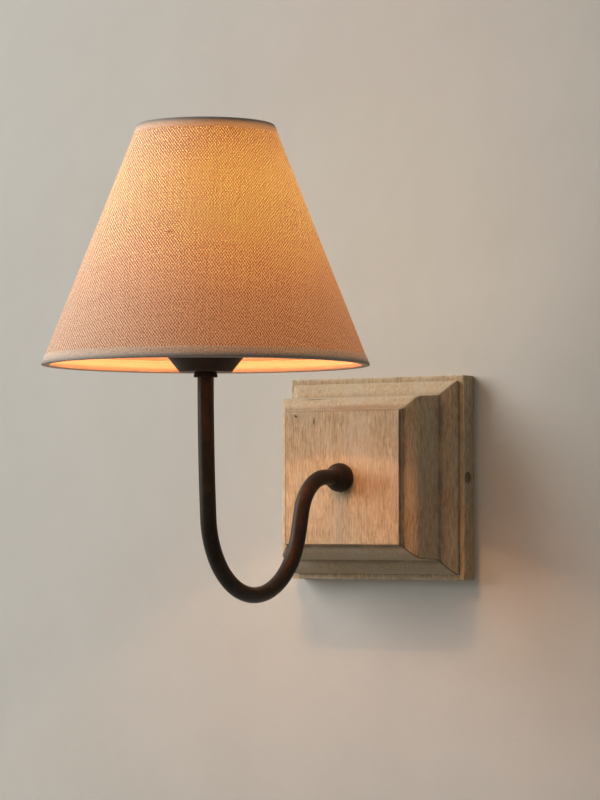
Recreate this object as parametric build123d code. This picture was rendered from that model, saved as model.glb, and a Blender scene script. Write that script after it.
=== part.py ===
from build123d import *
from math import acos, degrees, pi, radians, sin
import os

# Wall lamp: a moulded timber block on the wall, a swan-neck iron arm and a linen shade over a bulb.
# Frame: +X right, +Y into the wall, +Z up. The origin is on the wall, at the middle of the bracket.
# Sizes are in millimetres.

# Timber block, measured across the wall (run) and out from it (rise)
base_side = 152.4
base_thick = 15.0
base_round = 1.5
base_ledge = 4.2  # base board left showing round the moulding
foot_rise = 3.2
lower_run = 10.4
lower_rise = 8.3
side_taper = 1.8
side_rise = 28.4
upper_run = 9.0
upper_rise = 5.6
step_run = 0.8  # small step round the front panel
step_rise = 4.5
cove_sag = 0.8
arris_round = 0.9
shoulder_round = 3.0  # where the block's sides turn in towards the panel
frame_width = 30.2  # timber between the board's edge and its window
front_wall = 17.0  # timber in front of the hollow

# Wall bracket
strap_thick = 2.0
strap_height = 50.0
strap_gap = 0.5
ear_reach = 16.0
ear_bend = 2.5
slot_spacing = 60.0
slot_length = 12.0
slot_width = 5.0

# Rubber bush for the supply cable
inlet_bore = 8.0
bush_wall = 1.6
bush_rim = 2.4
bush_lip = 1.2

# Side screws, through the board's edge into the bracket's ears
side_screw_out = 9.6  # from the wall to the screw's axis
side_screw_size = 4.0
side_screw_length = 35.0
side_head_size = 7.0
side_head_height = 2.6
counterbore_size = 8.4
counterbore_depth = 3.2

# Screw heads
drive_slot_width = 1.0
drive_slot_depth = 1.1

# Three-way connector on the bracket
terminal_pitch = 9.0
terminal_width = 30.0
terminal_height = 15.0
terminal_depth = 17.0
terminal_below = 17.0  # from the bracket's middle down to the connector's middle
clamp_size = 5.0
clamp_bore = 3.2
clamp_screw_size = 2.4
clamp_screw_offset = 3.6
clamp_head_size = 3.4
clamp_head_height = 2.0
fixing_size = 3.0
fixing_head_size = 5.0
fixing_head_height = 2.2

# Earth connection
earth_x = 18.0
earth_z = 16.0
earth_screw_size = 4.0
earth_head_size = 7.5
earth_head_height = 2.6
lug_size = 8.6
lug_thick = 0.8
barrel_size = 4.0
barrel_length = 6.0
barrel_drop = 9.0  # from the lug's hole down to the barrel's middle

# Wires
wire_size = 2.4
wire_entry = 5.0
wire_spacing = 3.2  # between the two wires inside the arm
wire_bend = 6.0
wire_ease = 14.0
earth_bend = 4.0
wire_straight = 0.25  # share of the climb to a terminal that is straight, at each end

# Arm
tube_size = 11.5
tube_bore = 8.0
thread_size = 10.0
arm_lead = 22.0  # straight run from the timber to the first bend
drop_radius = 34.0
drop_turn = 76.0
fall_length = 15.0
hook_radius = 59.0
leg_lean = 4.0
leg_rise = 97.6
rear_tail = 4.0  # thread past the rear nut
ball_size = 21.5
ball_stand = 3.0  # from the timber to the ball's centre
ball_ledge = 3.0  # thickness under the tube's shoulder
washer_size = 30.0
washer_thick = 2.0
nut_flats = 14.0
nut_thick = 5.0

# Knurled nut and cup
lock_nut_size = 16.6
lock_nut_top = 15.0
lock_nut_height = 3.7
lock_nut_rim = 1.5  # height of its straight rim
lock_nut_ridges = 28
cup_foot = 36.6
cup_mouth = 61.6
cup_height = 15.5
cup_wall = 1.0
cup_bead = 2.4
groove_share = 0.64  # width of a groove in a ridged rim, as a share of the ridges' pitch

# Lampholder
holder_foot = 30.0
holder_size = 42.0
holder_wall = 2.0
cap_shoulder = 12.0
cap_height = 20.0
boss_size = 17.0
boss_height = 10.0
skirt_height = 7.0
flange_size = 47.0
flange_thick = 3.0
collar_size = 39.0
collar_height = 28.0
lip_height = 1.5
collar_wall = 1.7  # round the contact block
block_height = 9.0
block_drop = 13.0  # from the holder's lower edge up to the contact block's top
shell_bore = 27.0
shell_wall = 0.4
terminal_x = 9.0
terminal_block_size = 6.0
terminal_block_height = 7.0
contact_width = 4.0
contact_thick = 0.5
contact_lift = 0.5
shade_ring_size = 52.0
shade_ring_height = 8.0
shade_ring_ridges = 36

# Bulb with a screw cap
bulb_ball = 60.0
bulb_neck = 24.8
bulb_neck_depth = 8.0
bulb_length = 105.0
bulb_wall = 0.8
bulb_cap_size = 26.2
bulb_cap_wall = 0.5
bulb_cap_length = 22.0
insulator_foot = 9.0
insulator_height = 3.5
insulator_plug = 2.0
tip_size = 7.0
tip_height = 0.8
stem_size = 7.0
stem_height = 26.0
post_size = 2.0
hub_size = 22.0
hub_thick = 0.8
filament_size = 2.0
filament_length = 38.0
filament_ring_size = 18.0  # across the filaments' middles
filament_count = 4

# Shade
shade_bottom = 229.0
shade_top = 96.0
shade_height = 168.0
fitter_recess = 26.6  # from the fitter ring's seat down to the shade's lower edge
linen_thick = 0.6
liner_thick = 0.4
trim_thick = 0.6
bottom_trim_height = 7.4
top_trim_height = 7.0
ring_wire = 3.0
fitter_size = 56.0
fitter_thick = 1.5
fitter_arm_size = 3.0
fitter_arm_count = 3
fitter_arm_angle = 124.5  # of the first arm, anticlockwise from +X

# Clearances
slip_gap = 0.1  # round a screw, thread or bush in its hole
glue_gap = 0.1  # between glued layers of the shade
weld_gap = 0.05
shade_play = 0.3  # between the shade's carrier and the lampholder
bulb_play = 0.4

# Levels out from the wall
block_depth = base_thick + foot_rise + lower_rise + side_rise + upper_rise + step_rise
window = base_side - 2 * frame_width
hollow_depth = block_depth - front_wall
arm_shoulder = block_depth + ball_ledge
arm_rear = hollow_depth - washer_thick - nut_thick - rear_tail
strap_width = window - 2 * strap_gap
terminal_out = strap_thick + terminal_depth / 2
terminal_mouth = terminal_height / 2 - terminal_below

# Levels up the lamp head, from the arm's upper shoulder
cup_level = lock_nut_height
holder_level = cup_level + cup_wall
body_level = holder_level + cap_height
seat_level = body_level + skirt_height + flange_thick
block_level = body_level + block_drop
tip_level = block_level + contact_thick + contact_lift
shade_level = seat_level - fitter_recess
block_size = collar_size - 2 * collar_wall

# Turns a shape drawn with Y up and Z out of the wall into the lamp's frame
from_wall = Rot(90, 0, 0)


def rod(size, length):
    """Round bar standing on the XY plane."""
    return Pos(0, 0, length / 2) * Cylinder(size / 2, length)


def tube(size, bore, length):
    """Round tube standing on the XY plane."""
    return rod(size, length) - rod(bore, length)


def turned(points):
    """Solid turned about Z from (radius, height) points."""
    outline = Polyline([(radius, 0, height) for radius, height in points], close=True)
    return revolve(make_face(outline), Axis.Z)


def between(start, end, size):
    """Round bar from one point to another."""
    run = Vector(end) - Vector(start)
    return Plane(origin=start, z_dir=run) * rod(size, run.length)


def screw(size, length, head_size, head_height):
    """Slotted screw: its shank points down from the XY plane and its head stands on it."""
    slot = Box(head_size, drive_slot_width, 2 * drive_slot_depth)
    head = rod(head_size, head_height) - Pos(0, 0, head_height) * slot
    return head + Pos(0, 0, -length) * rod(size, length)


def ridged(ring, size, height, count):
    """Cuts round grooves into the rim of a ring that stands on the XY plane."""
    groove = rod(groove_share * pi * size / count, height)
    for place in PolarLocations(size / 2, count):
        ring -= place * groove
    return ring


# Timber block


def base_board():
    board = extrude(RectangleRounded(base_side, base_side, base_round), base_thick)
    board = fillet(board.faces().sort_by(Axis.Z)[-1].edges(), arris_round)
    board -= extrude(Rectangle(window, window), base_thick)
    for side in (0, 180):
        bore = rod(side_screw_size + 2 * slip_gap, base_side / 2)
        bore += Pos(0, 0, base_side / 2 - counterbore_depth) * rod(counterbore_size, counterbore_depth)
        board -= Rot(0, 0, side) * (Pos(0, 0, side_screw_out) * (Rot(0, 90, 0) * bore))
    return from_wall * board


def moulding_face():
    """Section of the moulded block: X across the wall, Y out from it."""
    foot = Vector(base_side / 2 - base_ledge, base_thick)
    foot_top = foot + Vector(0, foot_rise)
    side_foot = foot_top + Vector(-lower_run, lower_rise)
    side_top = side_foot + Vector(-side_taper, side_rise)
    step_foot = side_top + Vector(-upper_run, upper_rise)
    front = step_foot + Vector(-step_run, step_rise)
    half = Curve() + [
        Line(foot, foot_top),
        SagittaArc(foot_top, side_foot, cove_sag),
        Line(side_foot, side_top),
        SagittaArc(side_top, step_foot, cove_sag),
        Line(step_foot, front),
    ]
    ends = [Line((-point.X, point.Y), point) for point in (foot, front)]
    section = make_face(half + mirror(half, about=Plane.YZ) + ends)
    section = fillet([v for v in section.vertices() if abs(v.Y - side_top.Y) < slip_gap], shoulder_round)
    return fillet([v for v in section.vertices() if abs(v.Y - front.Y) < slip_gap], arris_round)


def moulded_block():
    bar = Rot(90, 0, 0) * extrude(moulding_face(), base_side / 2, both=True)
    block = bar & (Rot(0, 0, 90) * bar)
    block -= Pos(0, 0, hollow_depth / 2) * Box(window, window, hollow_depth)
    block -= rod(thread_size + 2 * slip_gap, block_depth)
    return from_wall * block


# Bracket and what is on it


def wall_bracket():
    outline = Polyline(
        (-strap_width / 2, ear_reach),
        (-strap_width / 2, 0),
        (strap_width / 2, 0),
        (strap_width / 2, ear_reach),
        (strap_width / 2 - strap_thick, ear_reach),
        (strap_width / 2 - strap_thick, strap_thick),
        (strap_thick - strap_width / 2, strap_thick),
        (strap_thick - strap_width / 2, ear_reach),
        close=True,
    )
    section = make_face(outline)
    section = fillet([v for v in section.vertices() if abs(v.Y) < slip_gap], ear_bend)
    strap = Rot(90, 0, 0) * extrude(section, strap_height / 2, both=True)
    strap -= rod(inlet_bore + 2 * bush_wall + 2 * slip_gap, strap_thick)
    slot = extrude(SlotOverall(slot_length, slot_width), strap_thick)
    for side in (-1, 1):
        strap -= Pos(side * slot_spacing / 2, 0, 0) * slot
    strap -= Pos(earth_x, earth_z, 0) * rod(earth_screw_size + 2 * slip_gap, strap_thick)
    strap -= Pos(terminal_pitch / 2, -terminal_below, 0) * rod(fixing_size + 2 * slip_gap, strap_thick)
    ear_hole = Rot(0, 90, 0) * Cylinder(side_screw_size / 2 + slip_gap, base_side)
    strap -= Pos(0, 0, side_screw_out) * ear_hole
    return from_wall * strap


def cable_grommet():
    barrel = inlet_bore + 2 * bush_wall
    bush = tube(barrel, inlet_bore, strap_thick + bush_lip)
    bush += Pos(0, 0, strap_thick) * tube(barrel + 2 * bush_rim, inlet_bore, bush_lip)
    return from_wall * bush


def side_screws():
    one = screw(side_screw_size, side_screw_length, side_head_size, side_head_height)
    one = Pos(0, 0, side_screw_out) * (Rot(0, 90, 0) * (Pos(0, 0, base_side / 2 - counterbore_depth) * one))
    return from_wall * (one + Rot(0, 0, 180) * one)


def terminal_poles():
    """Places of the connector's three poles, on the wall."""
    return [Pos(step * terminal_pitch, -terminal_below, 0) for step in (-1, 0, 1)]


def clamp_screw_places():
    """Places of the connector's clamp screws, two to a pole, on the wall."""
    return [pole * Pos(0, end * clamp_screw_offset, 0) for pole in terminal_poles() for end in (-1, 1)]


def upright(shape):
    """Lays a bar that stands on the XY plane along Y, centred, at the depth of the connector's poles."""
    return Pos(0, terminal_height / 2, terminal_out) * (Rot(90, 0, 0) * shape)


def terminal_block():
    body = Box(terminal_width, terminal_height, terminal_depth)
    body = Pos(0, -terminal_below, strap_thick + terminal_depth / 2) * body
    for pole in terminal_poles():
        body -= pole * upright(rod(clamp_size + 2 * slip_gap, terminal_height))
    for place in clamp_screw_places():
        body -= place * Pos(0, 0, terminal_out) * rod(clamp_head_size + 2 * slip_gap, terminal_depth)
    hole = rod(fixing_size + 2 * slip_gap, strap_thick + terminal_depth)
    body -= Pos(terminal_pitch / 2, -terminal_below, 0) * hole
    return from_wall * body


def terminal_clamps():
    one = upright(tube(clamp_size, clamp_bore, terminal_height))
    clamps = Part() + [pole * one for pole in terminal_poles()]
    for place in clamp_screw_places():
        clamps -= place * Pos(0, 0, terminal_out) * rod(clamp_screw_size + 2 * slip_gap, terminal_depth)
    return from_wall * clamps


def terminal_screws():
    reach = clamp_size / 2 - wire_size / 2
    one = screw(clamp_screw_size, reach, clamp_head_size, clamp_head_height)
    one = Pos(0, 0, terminal_out + clamp_size / 2 + slip_gap) * one
    return from_wall * (Part() + [place * one for place in clamp_screw_places()])


def terminal_fixing():
    one = screw(fixing_size, terminal_depth + strap_thick, fixing_head_size, fixing_head_height)
    return from_wall * (Pos(terminal_pitch / 2, -terminal_below, strap_thick + terminal_depth) * one)


def earth_screw():
    one = screw(earth_screw_size, strap_thick + lug_thick, earth_head_size, earth_head_height)
    return from_wall * (Pos(earth_x, earth_z, strap_thick + lug_thick) * one)


def earth_lug():
    barrel_top = barrel_length / 2 - barrel_drop
    barrel = Rot(90, 0, 0) * tube(barrel_size, wire_size + 2 * slip_gap, barrel_length)
    barrel = Pos(0, barrel_top, barrel_size / 2) * barrel
    tongue = Pos(0, barrel_top / 2, lug_thick / 2) * Box(barrel_size, -barrel_top, lug_thick)
    lug = barrel + tongue + rod(lug_size, lug_thick) - rod(earth_screw_size + 2 * slip_gap, lug_thick)
    return from_wall * (Pos(earth_x, earth_z, strap_thick) * lug)


# Arm


def arm_edges(rear, above):
    """Centre line of the arm: X out from the wall, Y up, past its two shoulders to the given ends."""
    lead = Line((rear, 0), (block_depth + arm_lead, 0))
    drop = JernArc(lead @ 1, lead % 1, drop_radius, -drop_turn)
    fall = Line(drop @ 1, drop @ 1 + (drop % 1) * fall_length)
    hook = JernArc(fall @ 1, fall % 1, hook_radius, drop_turn + 90 - leg_lean)
    leg = JernArc(hook @ 1, hook % 1, leg_rise / sin(radians(leg_lean)), leg_lean)
    head = [Line(leg @ 1, leg @ 1 + Vector(0, above))] if above else []
    return [lead, drop, fall, hook, leg] + head


def arm_wire(rear, above, aside=0.0):
    """The same line in the lamp's frame, moved aside along X."""
    plane = Plane(origin=(aside, 0, 0), x_dir=(0, -1, 0), z_dir=(-1, 0, 0))
    return Wire(arm_edges(rear, above)).moved(Location(plane))


def swept(path, size):
    """Round bar along a path."""
    return sweep(Plane(origin=path @ 0, z_dir=path % 0) * Circle(size / 2), path=path)


arm_head = arm_wire(arm_rear, 0) @ 1
lamp = Pos(arm_head)
head_thread = holder_level + boss_height


def arm_tube():
    arm = swept(arm_wire(arm_shoulder, 0), tube_size)
    arm += Pos(0, -arm_rear, 0) * (from_wall * rod(thread_size, arm_shoulder - arm_rear))
    arm += lamp * rod(thread_size, head_thread)
    return arm - swept(arm_wire(arm_rear, head_thread), tube_bore)


def ball_collar():
    ball = Pos(0, 0, ball_stand) * Sphere(ball_size / 2)
    ball &= Pos(0, 0, ball_size) * Box(2 * ball_size, 2 * ball_size, 2 * ball_size)
    ball -= rod(thread_size + 2 * slip_gap, ball_size)
    ball -= Pos(0, 0, ball_ledge) * rod(tube_size + 2 * slip_gap, ball_size)
    return from_wall * (Pos(0, 0, block_depth) * ball)


def rear_washer():
    washer = tube(washer_size, thread_size + 2 * slip_gap, washer_thick)
    return from_wall * (Pos(0, 0, hollow_depth - washer_thick) * washer)


def rear_nut():
    nut = extrude(RegularPolygon(nut_flats / 2, 6, major_radius=False), nut_thick)
    nut -= rod(thread_size + 2 * slip_gap, nut_thick)
    return from_wall * (Pos(0, 0, hollow_depth - washer_thick - nut_thick) * nut)


def lamp_wire(step, aside):
    """Wire from a pole of the connector, through the arm, to a terminal of the lampholder."""
    pole_x = step * terminal_pitch
    rear = arm_rear + wire_size
    approach = (terminal_out + rear) / 2 + wire_bend
    start = FilletPolyline(
        (pole_x, -terminal_out, terminal_mouth - wire_entry),
        (pole_x, -terminal_out, 0),
        (aside, -approach, 0),
        (aside, -rear, 0),
        radius=[wire_bend, wire_ease],
    )
    middle = arm_wire(rear, head_thread, aside)
    top = middle @ 1
    side = terminal_x if aside > 0 else -terminal_x
    climb = block_level - block_height - head_thread
    straight = wire_straight * climb
    finish = FilletPolyline(
        top,
        top + Vector(0, 0, straight),
        Vector(side, top.Y, top.Z + climb - straight),
        Vector(side, top.Y, top.Z + climb + wire_entry),
        radius=straight,
    )
    return swept(Wire(start.edges() + middle.edges() + finish.edges()), wire_size)


def earth_wire():
    out = strap_thick + barrel_size / 2
    level = earth_z - barrel_drop - barrel_length / 2
    path = FilletPolyline(
        (terminal_pitch, -terminal_out, terminal_mouth - wire_entry),
        (terminal_pitch, -terminal_out, level - wire_bend),
        (earth_x, -out, level - wire_size),
        (earth_x, -out, level + barrel_length),
        radius=earth_bend,
    )
    return swept(path, wire_size)


# Lamp head, each piece drawn from the arm's upper shoulder


def lock_nut():
    thread = thread_size / 2 + slip_gap
    nut = turned(
        [
            (thread, 0),
            (lock_nut_size / 2, 0),
            (lock_nut_size / 2, lock_nut_rim),
            (lock_nut_top / 2, lock_nut_height),
            (thread, lock_nut_height),
        ]
    )
    return lamp * ridged(nut, lock_nut_size, lock_nut_height, lock_nut_ridges)


def lamp_cup():
    foot = cup_foot / 2
    mouth = cup_mouth / 2
    thread = thread_size / 2 + slip_gap
    wall = turned(
        [
            (thread, 0),
            (foot, 0),
            (mouth, cup_height),
            (mouth - cup_wall, cup_height),
            (foot - cup_wall / 2, cup_wall),
            (thread, cup_wall),
        ]
    )
    bead = Pos(0, 0, cup_height) * Torus(mouth - cup_wall / 2, cup_bead / 2)
    return lamp * Pos(0, 0, cup_level) * (wall + bead)


def holder_cap():
    thread = thread_size / 2 + slip_gap
    rim = holder_size / 2
    foot = holder_foot / 2
    cap = turned(
        [
            (thread, 0),
            (foot, 0),
            (rim, cap_shoulder),
            (rim, cap_height),
            (rim - holder_wall, cap_height),
            (rim - holder_wall, cap_shoulder + holder_wall / 2),
            (foot - holder_wall / 2, holder_wall),
            (boss_size / 2, holder_wall),
            (boss_size / 2, boss_height),
            (thread, boss_height),
        ]
    )
    return lamp * Pos(0, 0, holder_level) * cap


def holder_body():
    rim = holder_size / 2
    skirt_top = skirt_height + flange_thick
    top = skirt_top + collar_height
    shell = shell_bore / 2 + shell_wall + slip_gap
    lip = bulb_cap_size / 2 + bulb_play
    seat = block_size / 2 + slip_gap
    body = turned(
        [
            (seat, 0),
            (rim, 0),
            (rim, skirt_height),
            (flange_size / 2, skirt_height),
            (flange_size / 2, skirt_top),
            (collar_size / 2, skirt_top),
            (collar_size / 2, top),
            (lip, top),
            (lip, top - lip_height),
            (shell, top - lip_height),
            (shell, block_drop),
            (seat, block_drop),
        ]
    )
    return lamp * Pos(0, 0, body_level) * body


def contact_block():
    block = rod(block_size, block_height)
    pocket = terminal_block_size + 2 * slip_gap
    pocket_height = terminal_block_height + slip_gap
    pit = Pos(terminal_x, 0, pocket_height / 2) * Box(pocket, pocket, pocket_height)
    tab = Box(contact_thick + 2 * slip_gap, contact_width + 2 * slip_gap, 2 * block_height)
    hole = Rot(0, 90, 0) * rod(clamp_head_size + 2 * slip_gap, block_size)
    cut = pit + Pos(terminal_x, 0, block_height) * tab + Pos(terminal_x, 0, wire_entry / 2) * hole
    block -= cut
    block -= Rot(0, 0, 180) * cut
    return lamp * Pos(0, 0, block_level - block_height) * block


def holder_terminals():
    brass = Box(terminal_block_size, terminal_block_size, terminal_block_height)
    one = Pos(terminal_x, 0, terminal_block_height / 2) * brass
    one -= Pos(terminal_x, 0, 0) * rod(wire_size + 2 * slip_gap, wire_entry + slip_gap)
    bore = Rot(0, 90, 0) * rod(clamp_screw_size + 2 * slip_gap, block_size)
    one -= Pos(terminal_x, 0, wire_entry / 2) * bore
    return lamp * Pos(0, 0, block_level - block_height) * (one + Rot(0, 0, 180) * one)


def holder_screws():
    reach = terminal_block_size / 2 - wire_size / 2
    one = Rot(0, 90, 0) * screw(clamp_screw_size, reach, clamp_head_size, clamp_head_height)
    one = Pos(terminal_x + terminal_block_size / 2 + slip_gap, 0, wire_entry / 2) * one
    return lamp * Pos(0, 0, block_level - block_height) * (one + Rot(0, 0, 180) * one)


def screw_shell():
    """Threaded liner of the lampholder, with a tab down to its terminal."""
    height = skirt_height + flange_thick + collar_height - lip_height - block_drop - slip_gap
    shell = tube(shell_bore + 2 * shell_wall, shell_bore, height)
    leg_length = block_height - terminal_block_height
    inner = terminal_x - contact_thick / 2
    outer = shell_bore / 2 + shell_wall / 2
    strip = Pos((inner + outer) / 2, 0, contact_thick / 2) * Box(outer - inner, contact_width, contact_thick)
    leg = Pos(terminal_x, 0, -leg_length / 2) * Box(contact_thick, contact_width, leg_length)
    return lamp * Pos(0, 0, block_level) * (shell + strip + leg)


def centre_contact():
    """Sprung strip under the bulb's tip, with a leg down to the other terminal."""
    leg_length = block_height - terminal_block_height
    outer = -terminal_x - contact_thick / 2
    inner = -terminal_x + contact_thick / 2
    top = contact_thick + contact_lift
    outline = Polyline(
        (outer, -leg_length),
        (inner, -leg_length),
        (inner, 0),
        (-tip_size, 0),
        (-tip_size / 2, contact_lift),
        (tip_size / 2, contact_lift),
        (tip_size / 2, top),
        (-tip_size / 2, top),
        (-tip_size, contact_thick),
        (outer, contact_thick),
        close=True,
    )
    strip = Rot(90, 0, 0) * extrude(make_face(outline), contact_width / 2, both=True)
    return lamp * Pos(0, 0, block_level) * strip


def shade_ring():
    ring = tube(shade_ring_size, collar_size + 2 * slip_gap, shade_ring_height)
    ring = ridged(ring, shade_ring_size, shade_ring_height, shade_ring_ridges)
    return lamp * Pos(0, 0, seat_level + fitter_thick + shade_play) * ring


# Bulb

cap_level = tip_level + tip_height + insulator_height
neck_level = cap_level + bulb_cap_length
globe_level = neck_level - bulb_neck_depth
ball_level = tip_level + bulb_length - bulb_ball / 2
hub_level = globe_level + stem_height


def bulb_solid(neck, ball):
    """Solid inside the globe's outline, for a neck and a ball of the given radii."""
    rise = ball_level - neck_level
    flare = (rise**2 + neck**2 - ball**2) / (2 * (ball - neck))
    turn = degrees(acos((neck + flare) / (ball + flare)))
    side = Line((neck, globe_level), (neck, neck_level))
    hollow = JernArc(side @ 1, side % 1, flare, -turn)
    dome = JernArc(hollow @ 1, hollow % 1, ball, 90 + turn)
    axis = Polyline(dome @ 1, (0, globe_level), (neck, globe_level))
    return Rot(90, 0, 0) * revolve(make_face(Curve() + [side, hollow, dome, axis]), Axis.Y)


def bulb_globe():
    inside = bulb_solid(bulb_neck / 2 - bulb_wall, bulb_ball / 2 - bulb_wall)
    return lamp * (bulb_solid(bulb_neck / 2, bulb_ball / 2) - inside)


def bulb_cap():
    cap = tube(bulb_cap_size, bulb_cap_size - 2 * bulb_cap_wall, bulb_cap_length)
    return lamp * Pos(0, 0, cap_level) * cap


def bulb_insulator():
    plug = bulb_cap_size / 2 - bulb_cap_wall - slip_gap
    top = insulator_height + insulator_plug
    points = [(0, 0), (insulator_foot / 2, 0), (plug, insulator_height), (plug, top), (0, top)]
    return lamp * Pos(0, 0, tip_level + tip_height) * turned(points)


def bulb_contact():
    return lamp * Pos(0, 0, tip_level) * rod(tip_size, tip_height)


def bulb_stem():
    """Glass foot and post that carry the filaments between two hubs."""
    foot = rod(bulb_neck - 2 * bulb_wall - 2 * slip_gap, hub_thick)
    post = rod(stem_size, stem_height)
    hub = rod(hub_size, hub_thick)
    mast = rod(post_size, hub_thick + filament_length)
    top = hub_thick + filament_length
    stem = foot + post + Pos(0, 0, stem_height) * (hub + mast + Pos(0, 0, top) * hub)
    return lamp * Pos(0, 0, globe_level) * stem


def bulb_filaments():
    one = rod(filament_size, filament_length)
    group = Part() + [place * one for place in PolarLocations(filament_ring_size / 2, filament_count)]
    return lamp * Pos(0, 0, hub_level + hub_thick) * group


# Shade, drawn from its lower edge. Inward means square to the slanting wall, from the tape's outer face.

shade = lamp * Pos(0, 0, shade_level)
shade_slope = (shade_bottom - shade_top) / 2 / shade_height
edge_room = trim_thick + glue_gap
linen_in = edge_room
liner_in = linen_in + linen_thick + glue_gap
wire_in = liner_in + liner_thick + glue_gap + ring_wire / 2
tape_in = wire_in + ring_wire / 2 + glue_gap
wire_level = edge_room + ring_wire / 2


def shade_radius(level, inward):
    """Radius of the slanting wall at a level, moved inward."""
    return shade_bottom / 2 - level * shade_slope - inward * (1 + shade_slope**2) ** 0.5


def shade_layer(inward, thick):
    """One layer of the wall, from edge to edge inside the tapes."""
    low = edge_room
    high = shade_height - edge_room
    corners = [(low, inward), (high, inward), (high, inward + thick), (low, inward + thick)]
    return shade * turned([(shade_radius(level, depth), level) for level, depth in corners])


def shade_wire(level):
    return shade * Pos(0, 0, level) * Torus(shade_radius(level, wire_in), ring_wire / 2)


def shade_trim(edge, reach):
    """Tape folded round an edge of the wall and its wire; reach is up or down from the edge."""
    fold = edge + (trim_thick if reach > 0 else -trim_thick)
    tip = edge + reach
    inside = tape_in + trim_thick
    corners = [
        (edge, 0),
        (tip, 0),
        (tip, trim_thick),
        (fold, trim_thick),
        (fold, tape_in),
        (tip, tape_in),
        (tip, inside),
        (edge, inside),
    ]
    return shade * turned([(shade_radius(level, depth), level) for level, depth in corners])


def shade_linen():
    return shade_layer(linen_in, linen_thick)


def shade_liner():
    return shade_layer(liner_in, liner_thick)


def bottom_wire():
    return shade_wire(wire_level)


def top_wire():
    return shade_wire(shade_height - wire_level)


def arm_bar(number, size):
    """One carrier arm's bar, from inside the fitter ring's rim to the lower wire's centre."""
    start = (fitter_size / 2 - fitter_arm_size, 0, fitter_recess + fitter_thick / 2)
    end = (shade_radius(wire_level, wire_in), 0, wire_level)
    turn = fitter_arm_angle + number * 360 / fitter_arm_count
    return shade * (Rot(0, 0, turn) * between(start, end, size))


def bottom_trim():
    tape = shade_trim(0, bottom_trim_height)
    for number in range(fitter_arm_count):
        tape -= arm_bar(number, fitter_arm_size + 2 * glue_gap)
    return tape


def top_trim():
    return shade_trim(shade_height, -top_trim_height)


def fitter_ring():
    ring = tube(fitter_size, collar_size + 2 * shade_play, fitter_thick)
    return shade * Pos(0, 0, fitter_recess) * ring


def fitter_arm(number):
    ring_space = shade * rod(fitter_size + 2 * weld_gap, shade_height)
    wire_room = Torus(shade_radius(wire_level, wire_in), ring_wire / 2 + weld_gap)
    wire_space = shade * Pos(0, 0, wire_level) * wire_room
    return arm_bar(number, fitter_arm_size) - ring_space - wire_space


nodes = {
    "base_board": base_board(),
    "moulded_block": moulded_block(),
    "wall_bracket": wall_bracket(),
    "cable_grommet": cable_grommet(),
    "side_screws": side_screws(),
    "terminal_block": terminal_block(),
    "terminal_clamps": terminal_clamps(),
    "terminal_screws": terminal_screws(),
    "terminal_fixing": terminal_fixing(),
    "earth_screw": earth_screw(),
    "earth_lug": earth_lug(),
    "earth_wire": earth_wire(),
    "arm_tube": arm_tube(),
    "ball_collar": ball_collar(),
    "rear_washer": rear_washer(),
    "rear_nut": rear_nut(),
    "live_wire": lamp_wire(-1, -wire_spacing / 2),
    "neutral_wire": lamp_wire(0, wire_spacing / 2),
    "lock_nut": lock_nut(),
    "lamp_cup": lamp_cup(),
    "holder_cap": holder_cap(),
    "holder_body": holder_body(),
    "contact_block": contact_block(),
    "holder_terminals": holder_terminals(),
    "holder_screws": holder_screws(),
    "screw_shell": screw_shell(),
    "centre_contact": centre_contact(),
    "shade_ring": shade_ring(),
    "bulb_globe": bulb_globe(),
    "bulb_cap": bulb_cap(),
    "bulb_insulator": bulb_insulator(),
    "bulb_contact": bulb_contact(),
    "bulb_stem": bulb_stem(),
    "bulb_filaments": bulb_filaments(),
    "shade_linen": shade_linen(),
    "shade_liner": shade_liner(),
    "bottom_trim": bottom_trim(),
    "top_trim": top_trim(),
    "bottom_wire": bottom_wire(),
    "top_wire": top_wire(),
    "fitter_ring": fitter_ring(),
}
for number in range(fitter_arm_count):
    nodes[f"fitter_arm_{number + 1}"] = fitter_arm(number)

os.makedirs("parts", exist_ok=True)
for name, shape in nodes.items():
    shape.label = name
    export_step(shape, f"parts/{name}.step")
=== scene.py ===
from math import cos, exp, hypot, pi, radians, sin

import bpy
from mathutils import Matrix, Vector, noise


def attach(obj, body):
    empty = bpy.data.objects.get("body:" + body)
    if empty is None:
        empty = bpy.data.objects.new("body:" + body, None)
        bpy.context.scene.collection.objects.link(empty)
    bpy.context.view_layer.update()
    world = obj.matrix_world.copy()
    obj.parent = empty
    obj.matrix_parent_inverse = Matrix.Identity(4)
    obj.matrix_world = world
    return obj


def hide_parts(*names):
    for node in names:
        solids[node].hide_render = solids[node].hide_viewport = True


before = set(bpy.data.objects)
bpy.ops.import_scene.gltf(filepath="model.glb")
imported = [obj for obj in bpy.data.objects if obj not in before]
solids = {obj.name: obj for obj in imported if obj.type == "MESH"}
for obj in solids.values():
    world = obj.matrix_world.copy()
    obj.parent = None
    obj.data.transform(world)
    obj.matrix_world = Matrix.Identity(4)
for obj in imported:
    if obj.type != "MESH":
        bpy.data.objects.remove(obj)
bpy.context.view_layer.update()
scene = bpy.context.scene
MM = 0.001

# Main sizes, in millimetres, as in the part's source
LAMP_Y = -243.131
SHADE_FOOT = 75.529
SHADE_HEIGHT = 168.0
SHADE_BOTTOM = 114.5
SHADE_TOP = 48.0
SHADE_SLOPE = (SHADE_BOTTOM - SHADE_TOP) / SHADE_HEIGHT
SLANT = hypot(1.0, SHADE_SLOPE)
BOARD_HALF = 76.2
BOARD_THICK = 15.0
WINDOW_HALF = 46.0
HOLLOW_DEPTH = 48.0
BLOCK_DEPTH = 65.0
PANEL_HALF = 50.0
SPIGOT_HOLE = 5.1
SCREW_OUT = 9.6
SCREW_BORE = 8.4
BORE_DEPTH = 3.2
CAP_SIZE = 26.2
CAP_LENGTH = 22.0
CAP_WALL = 0.5
THREAD_PITCH = 3.629
THREAD_DEPTH = 1.0

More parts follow.
